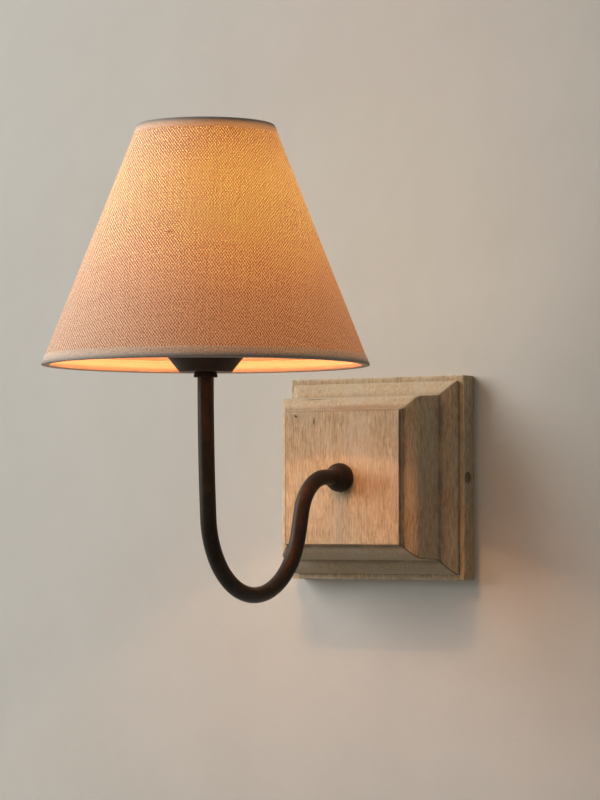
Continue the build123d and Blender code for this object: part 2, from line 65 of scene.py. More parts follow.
# The linen on its flat cut, where a turn round the shade is a smaller turn
SPREAD = SHADE_SLOPE / SLANT
SEAM_LAP = radians(3.0)
SEAM = pi - SEAM_LAP / 2
SEAM_BLUR = 0.004
GRAIN_TURN = radians(30)  # where the threads run straight up, from the front towards +X

# Sections of the timber: half width, distance from the wall and sag up to the next corner
BLOCK_SECTION = [
    (72.0, BOARD_THICK, 0.0),
    (72.0, 18.2, -0.8),
    (61.6, 26.5, 0.0),
    (60.0, 51.9, 0.0),
    (59.2, 54.5, 0.0),
    (57.2, 56.5, -0.6),
    (50.8, 60.5, 0.0),
    (PANEL_HALF, BLOCK_DEPTH, 0.0),
    (15.0, BLOCK_DEPTH, 0.0),
]
BOARD_SECTION = [
    (WINDOW_HALF, 0.0, 0.0),
    (BOARD_HALF, 0.0, 0.0),
    (BOARD_HALF, BOARD_THICK, 0.0),
    (WINDOW_HALF, BOARD_THICK, 0.0),
]

# Small marks, each with its place, turn in degrees, reach along and across, and raggedness:
# dents and cracks in the timber's front, by x and z, with their strength, and flaws in the
# linen, on its flat cut. MARK_CORE is the share of the reach that is full, and MARK_WAVES are
# the waves for each metre of a ragged edge.
MARK_CORE = 0.55
MARK_WAVES = 1100.0
DENTS = [
    (((-40.4, 46.2), -28, (1.9, 1.0), 0.5), 0.92),
    (((-24.2, 42.2), 88, (3.4, 0.75), 0.3), 0.92),
    (((-29.5, 58.9), 0, (10.5, 0.65), 0.5), 0.5),
]
FLAWS = [
    ((-18.1, 217.5), 6, (3.8, 1.0), 0.3),
    ((27.0, 193.2), 111, (8.4, 0.42), 0.2),
    ((-6.9, 178.3), 0, (1.0, 1.0), 0.0),
]

# Brown patches in the timber's front: place, reach and strength. The first is a stain, the second
# a painted shadow with warm light beside the collar
STAIN_AND_LIGHT_PATCHES = [
    ((14.0, 51.2), (38.0, 3.4), 0.60),
    # painted shadow with warm light beside the collar
    ((26.0, -3.0), (26.0, 12.0), 0.46),
]
PATCH_RAGGED = 0.9

# Where other marks of the timber come and go, in metres: by y, by the distance from the middle
# of the front, and by z
FRONT_Y = (-0.0155, -0.0175)
RIM_INNER, RIM_OUTER = (0.0486, 0.0499), (0.0518, 0.0509)
RIM_Y = (-0.0626, -0.0642)
RIM_TOP_Z = (0.046, 0.050)
MITRE_INNER, MITRE_OUTER = (0.0495, 0.0512), (0.0726, 0.0718)
MITRE_WIDTH = (0.0012, 0.0004)
MITRE_WAVER = 0.005
MITRE_LOW_Z = (0.0, -0.03)

# Noises of timber and iron: waves for each metre by x, y and z, shift, detail, roughness and warp
STILL = (0, 0, 0)
FIBRES = ((1300, 700, 115), STILL, 4.0, 0.68, 0.25)
END_GRAIN = ((1000, 420, 60), (0.5, 0.3, 0.2), 4.0, 0.66)
PORES = ((1600, 800, 170), (0.4, 0.1, 0.7), 2.0, 0.5)
BANDS = ((210, 210, 7), (0.2, 0.5, 0.1), 3.0, 0.5, 0.4)
CLOUDS = ((42, 42, 26), STILL, 4.0, 0.6)
PATCHES = ((75, 75, 75), (0.9, 0.2, 0.4), 4.0, 0.6)
IRON_PATCHES = ((48, 48, 48), STILL, 5.0, 0.62, 0.6)
IRON_GRIT = ((900, 900, 900), STILL, 3.0, 0.6)
IRON_RUST = ((110, 110, 60), (0.3, 0.1, 0.2), 6.0, 0.68, 0.4)

# Weaves: pitch of the warp and of the weft in millimetres, then the grain, as its waves for each
# yarn across and along and its weight. YARNS is the unevenness of single yarns, both ways.
LINEN_WEAVE = (0.97, 1.44, (0.95, 1.35, 1.9))
TAPE_WEAVE = (1.0, 1.3, (1.0, 1.0, 1.35))
YARNS = ((0.9, 0.02, 0.30), (0.02, 0.9, 0.30))
YARN_WANDER = (260.0, 3.0, 0.65)
YARN_DRIFT = 3.0
WEFT_SHIFT = 7.0
LEAN = 0.16
SLUBS = ((300, 46, 1), (52, 460, 1))

# Tones along a ramp
TIMBER_TONES = (
    (0.32, (0.225, 0.146, 0.077)),
    (0.46, (0.415, 0.290, 0.166)),
    (0.55, (0.505, 0.366, 0.218)),
    (0.68, (0.625, 0.488, 0.318)),
)
IRON_TONES = (
    (0.32, (0.0085, 0.0062, 0.0046)),
    (0.50, (0.0145, 0.0098, 0.0066)),
    (0.68, (0.0290, 0.0162, 0.0088)),
)
LINEN_TONES = (
    (0.05, (0.150, 0.108, 0.070)),
    (0.5, (0.400, 0.330, 0.256)),
    (0.95, (0.590, 0.512, 0.415)),
)
TAPE_TONES = ((0.15, (0.335, 0.272, 0.214)), (0.85, (0.620, 0.535, 0.448)))

# Light that comes through the cloth, by the share of the shade's height
LINEN_GLOW = (
    (0.0, (0.255, 0.074, 0.008)),
    (0.24, (0.345, 0.108, 0.014)),
    (0.50, (0.565, 0.196, 0.023)),
    (0.74, (0.690, 0.254, 0.032)),
    (0.88, (0.620, 0.208, 0.023)),
    (1.0, (0.500, 0.156, 0.016)),
)
TAPE_GLOW = ((0.05, (0.200, 0.066, 0.012)), (0.95, (0.400, 0.125, 0.014)))

# How the linen's tone makes that light weaker or stronger, low on the shade and high on it
UPPER_SHADE = (0.25, 0.60)
LOW_CONTRAST = (0.0, 1.0, 0.26, 1.74)
HIGH_CONTRAST = (0.42, 1.0, 0.10, 2.80)
SLUB_SHARE = (0.72, 0.80, 0.0, 0.7)

# Single colours
OPEN_PORE = (0.190, 0.120, 0.062)
LIMED_PORE = (0.66, 0.56, 0.40)
PALE_CLOUD = (0.480, 0.395, 0.285)
DARK_CLOUD = (0.300, 0.195, 0.107)
RUBBED_PALE = (0.610, 0.500, 0.350)
RUBBED_DARK = (0.210, 0.128, 0.066)
# Paler on faces that look up
PALER_TOP = (0.600, 0.510, 0.375)
# Painted shade on faces that look down
UNDERSIDE_PAINTED_SHADE = (0.215, 0.170, 0.118)
# Dirt and painted shade in hollows and creases
CREVICE_DIRT_AND_SHADE = (0.080, 0.050, 0.027)
# Stain and painted shade round the panel's step
RIM_STAIN_AND_SHADE = (0.130, 0.074, 0.034)
MITRE_LINE = (0.055, 0.034, 0.020)
# Brown of a stain, also used for a painted shadow with warm light
STAIN_AND_LIGHT_BROWN = (0.300, 0.140, 0.058)
DENT_BROWN = (0.040, 0.022, 0.012)
RUST_BROWN = (0.060, 0.026, 0.0100)
IRON_SPECK = (0.006, 0.005, 0.004)
SLUB_BROWN = (0.10, 0.06, 0.035)
CREAM = (0.56, 0.345, 0.235)
PALE_TAPE = (0.56, 0.355, 0.250)
# Dirt and painted shade along the hem's fold
SOILED_AND_SHADED_TAPE = (0.250, 0.216, 0.176)
EARTH_STRIPE = (0.78, 0.62, 0.03)
STRIPE_WAVES = 2600.0
BLACK = (0.0, 0.0, 0.0)


# Materials


class Look:
    """A node-built material, with short names for the nodes that it uses."""

    def __init__(self, name):
        self.material = bpy.data.materials.new(name)
        self.material.use_nodes = True
        self.tree = self.material.node_tree
        self.shader = self.tree.nodes["Principled BSDF"]

    def feed(self, socket, value):
        if isinstance(value, bpy.types.NodeSocket):
            self.tree.links.new(value, socket)
        else:
            socket.default_value = value

    def node(self, kind, inputs, **settings):
        made = self.tree.nodes.new("ShaderNode" + kind)
        for name, value in settings.items():
            setattr(made, name, value)
        for key, value in inputs.items():
            self.feed(made.inputs[key], value)
        return made

    def set(self, **sockets):
        for name, value in sockets.items():
            self.feed(self.shader.inputs[name.replace("_", " ")], value)

    def mapped(self, vector, scale=(1, 1, 1), shift=STILL):
        sockets = {"Vector": vector, "Scale": scale, "Location": shift}
        return self.node("Mapping", sockets).outputs[0]

    def place(self, scale=(1, 1, 1), shift=STILL):
        return self.mapped(self.node("TexCoord", {}).outputs["Object"], scale, shift)

    def split(self, vector):
        return self.node("SeparateXYZ", {"Vector": vector}).outputs

    def stored(self, name, output):
        return self.node("Attribute", {}, attribute_name=name).outputs[output]

    def stored_marks(self):
        return self.node("SeparateColor", {"Color": self.stored("marks", "Color")}).outputs

    def noise(self, vector, scale, detail, rough=0.55, warp=0.0):
        sockets = {"Vector": vector, "Scale": scale, "Detail": detail}
        sockets.update({"Roughness": rough, "Distortion": warp})
        return self.node("TexNoise", sockets).outputs["Fac"]

    def grain(self, waves, shift, detail, rough, warp=0.0):
        return self.noise(self.place(waves, shift), 1.0, detail, rough, warp)

    def math(self, operation, *values):
        return self.node("Math", dict(enumerate(values)), operation=operation).outputs[0]

    def chain(self, operation, first, *others):
        for other in others:
            first = self.math(operation, first, other)
        return first

    def times(self, *values):
        return self.chain("MULTIPLY", *values)

    def most(self, *values):
        return self.chain("MAXIMUM", *values)

    def between(self, value, low, high, to_low=0.0, to_high=1.0):
        sockets = {0: value, 1: low, 2: high, 3: to_low, 4: to_high}
        return self.node("MapRange", sockets, interpolation_type="SMOOTHSTEP").outputs[0]

    def ramp(self, value, *stops):
        made = self.node("ValToRGB", {"Fac": value})
        line = made.color_ramp
        while len(line.elements) < len(stops):
            line.elements.new(0.5)
        for element, (position, colour) in zip(line.elements, stops):
            element.position = position
            element.color = (*colour, 1.0)
        return made.outputs["Color"]

    def mix(self, share, first, second, blend="MIX"):
        first = first if isinstance(first, bpy.types.NodeSocket) else (*first, 1.0)
        second = second if isinstance(second, bpy.types.NodeSocket) else (*second, 1.0)
        sockets = {0: share, 6: first, 7: second}
        return self.node("Mix", sockets, data_type="RGBA", blend_type=blend).outputs[2]

    def cover(self, colour, *layers):
        """Lays colours over one another, each by its own share."""
        for share, tint in layers:
            colour = self.mix(share, colour, tint)
        return colour

    def dim(self, colour, red, green, blue):
        shares = self.node("CombineColor", {0: red, 1: green, 2: blue}).outputs[0]
        return self.mix(1.0, colour, shares, "MULTIPLY")

    def mark(self, flat, place, turn, reach, ragged=0.0):
        """One in the middle of a small oval mark, and nothing outside it, in millimetres."""
        sockets = {
            "Vector": flat,
            "Location": (place[0] * MM, place[1] * MM, 0),
            "Rotation": (0, 0, radians(turn)),
            "Scale": (reach[0] * MM, reach[1] * MM, 1),
        }
        inside = self.node("Mapping", sockets, vector_type="TEXTURE").outputs[0]
        away = self.node("VectorMath", {0: inside}, operation="LENGTH").outputs["Value"]
        if ragged:
            away = self.math("MULTIPLY_ADD", self.noise(flat, MARK_WAVES, 2.0), ragged, away)
        return self.between(away, MARK_CORE, 1.0 + ragged, 1.0, 0.0)

    def bump(self, height, depth, strength):
        sockets = {"Height": height, "Distance": depth, "Strength": strength}
        return self.node("Bump", sockets).outputs[0]


def timber():
    look = Look("limed_timber")
    upward = look.split(look.node("NewGeometry", {}).outputs["Normal"])[2]
    lying = look.between(look.math("ABSOLUTE", upward), 0.35, 0.55)
    end_grain = look.math("MULTIPLY_ADD", look.grain(*END_GRAIN), 0.75, 0.13)
    fibres = look.math(
        "ADD",
        look.times(look.grain(*FIBRES), look.math("SUBTRACT", 1.0, lying)),
        look.times(end_grain, lying),
    )
    pores, clouds, patchy = look.grain(*PORES), look.grain(*CLOUDS), look.grain(*PATCHES)
    tone = look.math("MULTIPLY_ADD", look.grain(*BANDS), 0.15, look.times(fibres, 0.85))
    crevice, wear = look.stored_marks()[:2]
    # Dirt and painted shade in the hollows of the section, stronger on faces that look down
    dirt_and_shade = look.times(
        crevice,
        look.between(patchy, 0.30, 0.62, 0.30, 0.90),
        look.between(upward, 0.0, 0.6, 1.0, 0.40),
    )
    colour = look.cover(
        look.ramp(tone, *TIMBER_TONES),
        (look.between(pores, 0.55, 0.70, 0.0, 0.60), OPEN_PORE),
        (look.between(pores, 0.40, 0.28, 0.0, 0.50), LIMED_PORE),
        (look.between(clouds, 0.40, 0.68, 0.08, 0.52), PALE_CLOUD),
        (look.between(clouds, 0.42, 0.28, 0.0, 0.28), DARK_CLOUD),
        (look.times(wear, look.between(patchy, 0.40, 0.60, 0.0, 0.60)), RUBBED_PALE),
        (look.times(wear, look.between(patchy, 0.46, 0.34, 0.0, 0.40)), RUBBED_DARK),
        # paler on faces that look up
        (look.between(upward, 0.2, 0.9, 0.0, 0.20), PALER_TOP),
        # painted shade on faces that look down
        (look.between(upward, -0.2, -0.7, 0.0, 0.52), UNDERSIDE_PAINTED_SHADE),
        (dirt_and_shade, CREVICE_DIRT_AND_SHADE),
    )

    x, y, z = look.split(look.place())
    sides, ends = look.math("ABSOLUTE", x), look.math("ABSOLUTE", z)
    reach = look.most(sides, ends)
    in_front = look.between(y, *FRONT_Y)
    # A brown band round the panel's step: a stain, and painted shade on the step's sides, weaker
    # at the top
    rim_stain_and_shade = look.times(
        look.between(reach, *RIM_INNER),
        look.between(reach, *RIM_OUTER),
        look.between(y, *RIM_Y),
        look.between(patchy, 0.30, 0.56, 0.45, 0.92),
        look.between(z, *RIM_TOP_Z, 1.0, 0.55),
    )
    off_mitre = look.math(
        "MULTIPLY_ADD",
        look.math("SUBTRACT", patchy, 0.5),
        MITRE_WAVER,
        look.math("SUBTRACT", sides, ends),
    )
    mitre = look.times(
        look.between(look.math("ABSOLUTE", off_mitre), *MITRE_WIDTH),
        look.between(reach, *MITRE_INNER),
        look.between(reach, *MITRE_OUTER),
        look.between(z, *MITRE_LOW_Z, 0.0, 0.8),
        look.between(patchy, 0.32, 0.56, 0.3, 1.0),
        in_front,
    )
    colour = look.cover(colour, (rim_stain_and_shade, RIM_STAIN_AND_SHADE), (mitre, MITRE_LINE))

    front = look.node("CombineXYZ", {0: x, 1: z}).outputs[0]
    # A stain, then a painted shadow with warm light beside the collar
    for place, span, weight in STAIN_AND_LIGHT_PATCHES:
        faded = look.between(fibres, 0.38, 0.62, weight, weight * 0.45)
        stain_and_light = look.times(look.mark(front, place, 0, span, PATCH_RAGGED), in_front, faded)
        colour = look.mix(stain_and_light, colour, STAIN_AND_LIGHT_BROWN)
    dents = look.most(*(look.times(look.mark(front, *spot), weight) for spot, weight in DENTS))
    dents = look.times(dents, in_front)
    colour = look.mix(dents, colour, DENT_BROWN)

    sunk = look.between(pores, 0.56, 0.72, 0.0, 0.5)
    height = look.math("SUBTRACT", look.times(fibres, 0.8), sunk)
    height = look.times(height, look.math("MULTIPLY_ADD", lying, -0.6, 1.0))
    height = look.math("MULTIPLY_ADD", dents, -1.6, height)
    look.set(Base_Color=colour, Roughness=look.between(tone, 0.3, 0.7, 0.86, 0.68))
    look.set(Specular_IOR_Level=0.22, Normal=look.bump(height, 0.0005, 0.45))
    return look.material


def iron():
    look = Look("dark_iron")
    patches, grit, rust = (look.grain(*kind) for kind in (IRON_PATCHES, IRON_GRIT, IRON_RUST))
    colour = look.cover(
        look.ramp(patches, *IRON_TONES),
        (look.between(rust, 0.55, 0.72, 0.0, 0.55), RUST_BROWN),
        (look.between(grit, 0.60, 0.78, 0.0, 0.5), IRON_SPECK),
    )
    rough = look.math("MULTIPLY_ADD", grit, 0.14, look.between(patches, 0.3, 0.7, 0.30, 0.44))
    height = look.math("MULTIPLY_ADD", grit, 0.3, look.times(patches, 0.8))
    look.set(Base_Color=colour, Roughness=rough, Specular_IOR_Level=0.19)
    look.set(Specular_Tint=(1.0, 0.86, 0.70, 1.0), Normal=look.bump(height, 0.0005, 0.3))
    return look.material


def surface(
    name, light, dark, rough, scale, stretch=(1, 1, 1), depth=0.00008, metal=0.0, shine=0.5
):
    """A plain finish: two tones that drift into each other, uneven gloss and a fine skin."""
    look = Look(name)
    where = look.place(stretch)
    drift = look.noise(where, scale, 5.0, 0.6)
    skin = look.noise(where, scale * 7, 3.0, 0.6)
    colour = look.mix(look.between(drift, 0.3, 0.7), dark, light)
    colour = look.mix(look.between(skin, 0.62, 0.8, 0.0, 0.35), colour, dark)
    height = look.math("ADD", drift, look.times(skin, 0.5))
    look.set(Base_Color=colour, Roughness=look.between(drift, 0.3, 0.7, *rough))
    look.set(Metallic=metal, Specular_IOR_Level=shine, Normal=look.bump(height, depth, 0.5))
    return look


def weave(look, warp_pitch, weft_pitch, grain):
    """Light and dark of a plain weave on the flat cut, and how uneven its yarns are."""
    across, along = look.split(look.stored("cloth", "Vector"))[:2]
    flat = look.node("CombineXYZ", {0: across, 1: along}).outputs[0]
    phases = []
    for way, pitch, shift in ((across, warp_pitch, 0.0), (along, weft_pitch, WEFT_SHIFT)):
        wander = look.noise(look.mapped(flat, shift=(shift, shift, 0)), *YARN_WANDER)
        drift = look.times(look.math("SUBTRACT", wander, 0.5), YARN_DRIFT)
        phases.append(look.math("MULTIPLY_ADD", way, pi / (pitch * MM), drift))
    warp, weft = phases
    plain = look.times(look.math("SINE", warp), look.math("SINE", weft))
    lean = look.math("COSINE", look.math("SUBTRACT", warp, weft))
    check = look.math("MULTIPLY_ADD", lean, LEAN, look.times(plain, 1 - LEAN))
    uneven = []
    for across_share, along_share, weight in (*YARNS, grain):
        scale = (across_share / (warp_pitch * MM), along_share / (weft_pitch * MM), 1)
        yarn = look.noise(look.mapped(flat, scale), 1.0, 2.0, 0.5)
        uneven.append(look.times(look.math("SUBTRACT", yarn, 0.5), weight))
    return flat, check, look.chain("ADD", *uneven)


def shade_level(look):
    """Share of the shade's height, from its lower edge up."""
    low = SHADE_FOOT * MM
    sockets = {0: look.split(look.place())[2], 1: low, 2: low + SHADE_HEIGHT * MM}
    return look.node("MapRange", sockets).outputs[0]


def linen():
    look = Look("natural_linen")
    flat, check, uneven = weave(look, *LINEN_WEAVE)
    tone = look.math("MULTIPLY_ADD", check, 0.54, look.math("ADD", uneven, 0.5))
    slubs = [look.noise(look.mapped(flat, waves), 1.0, 2.0, 0.5) for waves in SLUBS]
    spots = look.most(
        *(look.between(slub, *SLUB_SHARE) for slub in slubs),
        *(look.mark(flat, *spot) for spot in FLAWS),
    )
    colour = look.ramp(tone, *LINEN_TONES)
    colour = look.mix(look.times(spots, 0.6), colour, SLUB_BROWN)

    level = shade_level(look)
    plain = look.between(tone, *LOW_CONTRAST)
    strong = look.between(tone, *HIGH_CONTRAST)
    upper = look.between(level, *UPPER_SHADE)
    lit = look.math("MULTIPLY_ADD", upper, look.math("SUBTRACT", strong, plain), plain)
    x, y = look.split(flat)[:2]
    turn = look.math("DIVIDE", look.math("ABSOLUTE", look.math("ARCTAN2", x, y)), SPREAD)
    single = look.between(turn, SEAM - SEAM_BLUR, SEAM + SEAM_BLUR, 1.0, 0.5)
    lit = look.times(lit, look.math("MULTIPLY_ADD", spots, -0.6, 1.0), single)
    red = look.math("MULTIPLY_ADD", lit, 0.64, 0.44)
    yellow = look.math("MULTIPLY_ADD", lit, look.math("MULTIPLY_ADD", lit, 0.37, 0.35), 0.13)
    glow = look.dim(look.ramp(level, *LINEN_GLOW), red, yellow, yellow)
    look.set(Base_Color=colour, Roughness=0.92, Specular_IOR_Level=0.15)
    look.set(Sheen_Weight=0.12, Sheen_Roughness=0.45, Normal=look.bump(tone, 0.0004, 0.4))
    look.set(Emission_Color=glow, Emission_Strength=1.0)
    return look.material


def tape():
    look = Look("folded_linen")
    _, check, uneven = weave(look, *TAPE_WEAVE)
    tone = look.math("MULTIPLY_ADD", check, 0.16, look.math("MULTIPLY_ADD", uneven, 1.1, 0.5))
    shut, inner, soiled_and_shaded = look.stored_marks()
    colour = look.cover(
        look.ramp(tone, *TAPE_TONES),
        # dirt and painted shade along the fold
        (look.times(soiled_and_shaded, 0.72), SOILED_AND_SHADED_TAPE),
        (inner, PALE_TAPE),
    )
    lit = look.between(tone, 0.1, 0.9, 0.6, 1.4)
    glow = look.dim(look.ramp(shade_level(look), *TAPE_GLOW), lit, lit, lit)
    glow = look.mix(shut, glow, BLACK)
    look.set(Base_Color=colour, Roughness=0.9, Specular_IOR_Level=0.15)
    look.set(Sheen_Weight=0.1, Sheen_Roughness=0.5, Normal=look.bump(tone, 0.0003, 0.4))
    look.set(Emission_Color=glow, Emission_Strength=1.0)
    return look.material


def lining():
    dark = tuple(c * 0.9 for c in CREAM)
    return surface("shade_lining", CREAM, dark, (0.42, 0.6), 60.0, depth=0.0002).material


def opal():
    light, dark = (0.93, 0.89, 0.80), (0.88, 0.83, 0.73)
    look = surface("opal_glass", light, dark, (0.25, 0.35), 40.0, depth=0.00005)
    look.set(Emission_Color=(1.0, 0.52, 0.230, 1.0), Emission_Strength=10.0)
    return look.material


def earth_cover():
    look = surface("earth_cover", (0.14, 0.36, 0.055), (0.10, 0.28, 0.04), (0.3, 0.42), 300.0)
    stripe = look.math("SINE", look.times(look.split(look.place())[0], STRIPE_WAVES))
    base = look.shader.inputs["Base Color"].links[0].from_socket
    look.set(Base_Color=look.mix(look.between(stripe, 0.1, 0.3), base, EARTH_STRIPE))
    return look.material


def clear_glass():
    light, dark = (0.93, 0.95, 0.95), (0.86, 0.90, 0.90)
    look = surface("clear_glass", light, dark, (0.04, 0.1), 120.0, depth=0.00004)
    look.set(Transmission_Weight=0.85, IOR=1.5)
    return look.material


TIMBER = timber()
LINEN = linen()
TAPE = tape()
LINING = lining()
CAP_METAL = surface(
    "cap_metal", (0.80, 0.80, 0.81), (0.66, 0.66, 0.68), (0.2, 0.38), 260.0, metal=1.0
).material

# Plain finishes: light and dark tone, roughness, scale, other settings, and the nodes they are on
PLAIN = {
    "zinc_steel": (
        (0.66, 0.66, 0.65), (0.44, 0.45, 0.46), (0.28, 0.5), 120.0,
        {"stretch": (1, 1, 3), "metal": 1.0},
        [
            "wall_bracket", "terminal_screws", "terminal_fixing", "earth_screw",
            "earth_lug", "rear_washer", "rear_nut", "holder_screws",
        ],
    ),
    "browned_steel": (
        (0.34, 0.27, 0.19), (0.13, 0.10, 0.07), (0.42, 0.6), 240.0, {"metal": 0.3},
        ["side_screws"],
    ),
    "brass": (
        (0.80, 0.60, 0.27), (0.58, 0.40, 0.15), (0.22, 0.42), 300.0, {"metal": 1.0},
        ["terminal_clamps", "holder_terminals", "screw_shell", "centre_contact", "bulb_contact"],
    ),
    "rubber": (
        (0.035, 0.034, 0.033), (0.018, 0.018, 0.018), (0.6, 0.8), 400.0, {"depth": 0.0002},
        ["cable_grommet"],
    ),
    "connector_plastic": (
        (0.80, 0.79, 0.75), (0.70, 0.69, 0.64), (0.4, 0.55), 200.0, {}, ["terminal_block"],
    ),
    "moulded_resin": (
        (0.030, 0.027, 0.025), (0.015, 0.013, 0.012), (0.3, 0.46), 220.0, {},
        ["holder_cap", "holder_body", "shade_ring"],
    ),
    "live_cover": (
        (0.20, 0.085, 0.034), (0.15, 0.06, 0.024), (0.3, 0.42), 300.0, {}, ["live_wire"],
    ),
    "neutral_cover": (
        (0.05, 0.16, 0.46), (0.035, 0.12, 0.36), (0.3, 0.42), 300.0, {}, ["neutral_wire"],
    ),
    "ceramic": (
        (0.84, 0.82, 0.77), (0.74, 0.71, 0.65), (0.12, 0.3), 180.0, {}, ["contact_block"],
    ),
    "black_glass": (
        (0.014, 0.014, 0.015), (0.007, 0.007, 0.008), (0.06, 0.16), 200.0, {}, ["bulb_insulator"],
    ),
    "phosphor": (
        (0.90, 0.62, 0.10), (0.80, 0.50, 0.06), (0.4, 0.6), 500.0, {}, ["bulb_filaments"],
    ),
    "white_enamel": (
        (0.80, 0.78, 0.73), (0.66, 0.63, 0.57), (0.25, 0.42), 220.0, {},
        ["bottom_wire", "top_wire", "fitter_ring", "fitter_arm_1", "fitter_arm_2", "fitter_arm_3"],
    ),
}
finishes = {
    iron(): ["arm_tube", "ball_collar", "lock_nut", "lamp_cup"],
    earth_cover(): ["earth_wire"],
    opal(): ["bulb_globe"],
    clear_glass(): ["bulb_stem"],
    CAP_METAL: ["bulb_cap"],
}
for name, (*recipe, settings, users) in PLAIN.items():
    finishes[surface(name, *recipe, **settings).material] = users
for material, users in finishes.items():
    for name in users:
        mesh = solids[name].data
        mesh.materials.clear()
        mesh.materials.append(material)


# Meshes, in millimetres


def make_mesh(name, points, faces, material, smooth=True):
    mesh = bpy.data.meshes.new(name)
    mesh.from_pydata([Vector(p) * MM for p in points], [], faces)
    mesh.validate()
    mesh.update()
    if smooth:
        mesh.shade_smooth()
    mesh.materials.append(material)
    made = bpy.data.objects.new(name, mesh)
    scene.collection.objects.link(made)
    return made


def keep_values(made, name, kind, values):
    """Stores one value per vertex for the material to read."""
    layer = made.data.attributes.new(name, kind, "POINT")
    key = "color" if kind == "FLOAT_COLOR" else "vector"
    layer.data.foreach_set(key, [number for value in values for number in value])


def add_piece(made, body, slot, *nodes):
    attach(made, body)
    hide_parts(*nodes)


def loop_faces(rows, columns, closed=True):
    """Faces between rows of points, which join up both ways round where they are closed."""
    open_by = 0 if closed else 1
    faces = []
    for row in range(rows - open_by):
        here, after = row * columns, (row + 1) % rows * columns
        for column in range(columns - open_by):
            beside = (column + 1) % columns
            faces.append((here + column, here + beside, after + beside, after + column))
    return faces


def clamp(value):
    return max(0.0, min(1.0, value))


def circle(steps):
    """Cosine and sine of evenly spaced turns."""
    return [(cos(2 * pi * i / steps), sin(2 * pi * i / steps)) for i in range(steps)]


# Timber, made of square loops that run round the block


SIDE_STEPS = 110
CORNER_STEPS = 5
EDGE_ROUND = 0.9
INNER_ROUND = 0.6
SECTION_STEP = 0.2
SOFTEN = 0.42
BEND_SPAN = 4
CREVICE_REACH, CREVICE_GAIN = 1.5, 8.0
WEAR_REACH, WEAR_GAIN = 0.5, 5.0
SLIGHT_BEND = 0.04
STRAIGHT_STEP, BENT_STEP = 1.5, 0.4
SWELL, SWELL_SIZE = 0.14, 22.0
RIPPLE, RIPPLE_SIZE = 0.03, (2.6, 6.0, 16.0)
CHIP, CHIP_SIZE, CRUMB_SIZE = 0.55, 4.5, 1.7
FLAT_BACK_Y = -1.0
BORE_STEPS = 40
BORE_SHARP = radians(50)


def square_loop(half, out, corner=INNER_ROUND):
    points = []
    straight = half - corner
    for quarter in range(4):
        side = [(half, -straight + 2 * straight * i / SIDE_STEPS) for i in range(SIDE_STEPS)]
        for i in range(CORNER_STEPS):
            angle = pi / 2 * i / CORNER_STEPS
            side.append((straight + corner * cos(angle), straight + corner * sin(angle)))
        for x, z in side:
            for _ in range(quarter):
                x, z = -z, x
            points.append(Vector((x, -out, z)))
    return points


def round_loop(radius, out):
    ways = [Vector((p.x, 0, p.z)).normalized() for p in square_loop(10.0, 0.0, 1.0)]
    return [way * radius + Vector((0, -out, 0)) for way in ways]


def bell(reach, step=1):
    """Weights that fade out to both sides, over three times the reach."""
    steps = round(3 * reach / step)
    return [exp(-0.5 * (k * step / reach) ** 2) for k in range(-steps, steps + 1)]


def smear(values, reach, gain):
    """The same values, spread along the section and kept between nothing and one."""
    weights = bell(reach)
    steps, last = len(weights) // 2, len(values) - 1
    smeared = []
    for i in range(len(values)):
        near = [values[min(max(i + k, 0), last)] for k in range(-steps, steps + 1)]
        smeared.append(min(1.0, gain * sum(w * v for w, v in zip(weights, near)) / sum(weights)))
    return smeared


def worn_profile(corners):
    """Points along a section with softened corners, each with its share of dirt and painted shade,
    and of wear.
    """
    fine = []
    for (h0, o0, sag), (h1, o1, _) in zip(corners, corners[1:]):
        length = hypot(h1 - h0, o1 - o0)
        count = max(2, round(length / SECTION_STEP))
        for i in range(count):
            t = i / count
            bow = 4 * sag * t * (1 - t)
            half = h0 + (h1 - h0) * t - bow * (o1 - o0) / length
            fine.append((half, o0 + (o1 - o0) * t + bow * (h1 - h0) / length))
    fine.append(corners[-1][:2])

    weights = bell(SOFTEN, SECTION_STEP)
    reach, total = len(weights) // 2, sum(weights)
    soft = list(fine)
    for i in range(reach, len(fine) - reach):
        near = fine[i - reach : i + reach + 1]
        soft[i] = tuple(sum(w * p[n] for w, p in zip(weights, near)) / total for n in (0, 1))

    last = len(soft) - 1
    bends = []
    for i, (h, o) in enumerate(soft):
        (h0, o0), (h1, o1) = soft[max(i - BEND_SPAN, 0)], soft[min(i + BEND_SPAN, last)]
        chord = max(hypot(h1 - h0, o1 - o0), 1e-6)
        bends.append(((h1 - h0) * (o - o0) - (o1 - o0) * (h - h0)) / chord)
    hollow, proud = [max(0.0, b) for b in bends], [max(0.0, -b) for b in bends]
    crevice = smear(hollow, CREVICE_REACH / SECTION_STEP, CREVICE_GAIN)
    wear = smear(proud, WEAR_REACH / SECTION_STEP, WEAR_GAIN)

    kept = [0]
    for i in range(1, last):
        (h, o), (h0, o0) = soft[i], soft[kept[-1]]
        wanted = STRAIGHT_STEP if abs(bends[i]) < SLIGHT_BEND else BENT_STEP
        if hypot(h - h0, o - o0) >= wanted:
            kept.append(i)
    kept.append(last)
    return [(*soft[i], crevice[i], wear[i]) for i in kept]


def unevenness(spot, wear):
    """How far the timber stands out at a spot, with chips where it is worn."""
    ripple = Vector([c / size for c, size in zip(spot, RIPPLE_SIZE)])
    swell = SWELL * noise.noise(spot / SWELL_SIZE) + RIPPLE * noise.noise(ripple)
    chip = noise.noise(spot / CHIP_SIZE) + 0.5 * noise.noise(spot / CRUMB_SIZE)
    return swell - wear * max(0.0, chip) * CHIP


